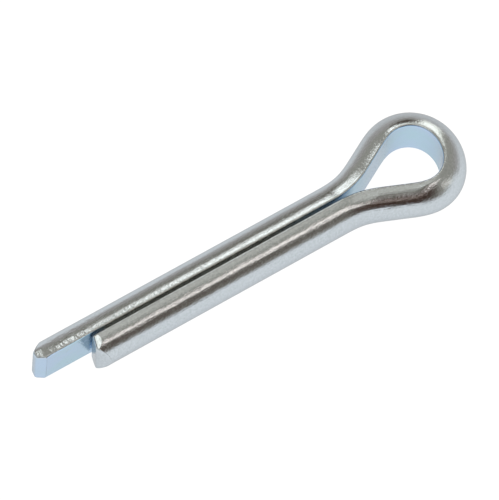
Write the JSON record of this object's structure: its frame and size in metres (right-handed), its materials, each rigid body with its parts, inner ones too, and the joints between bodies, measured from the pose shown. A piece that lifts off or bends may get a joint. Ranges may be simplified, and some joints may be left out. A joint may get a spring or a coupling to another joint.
{
  "type": "cotter pin",
  "caption": "Split cotter pin folded from half-round steel wire, with a teardrop eye and two straight legs, one longer, that spread to lock a shaft, clevis pin or castle nut.",
  "frame": {"origin": "on the axis of the closed legs, at the shoulder where the long leg's straight part meets the eye", "axes": "+X along the legs towards the eye, +Y towards the longer leg, +Z square to the plane of the eye; the pin lies on its side with the eye flat"},
  "size_m": [0.0537, 0.0125, 0.0064],
  "materials": {
    "zinc_plated_steel": "gloss"
  },
  "bodies": {
    "root": {"cotter_pin": "zinc_plated_steel"}
  },
  "joints": []
}
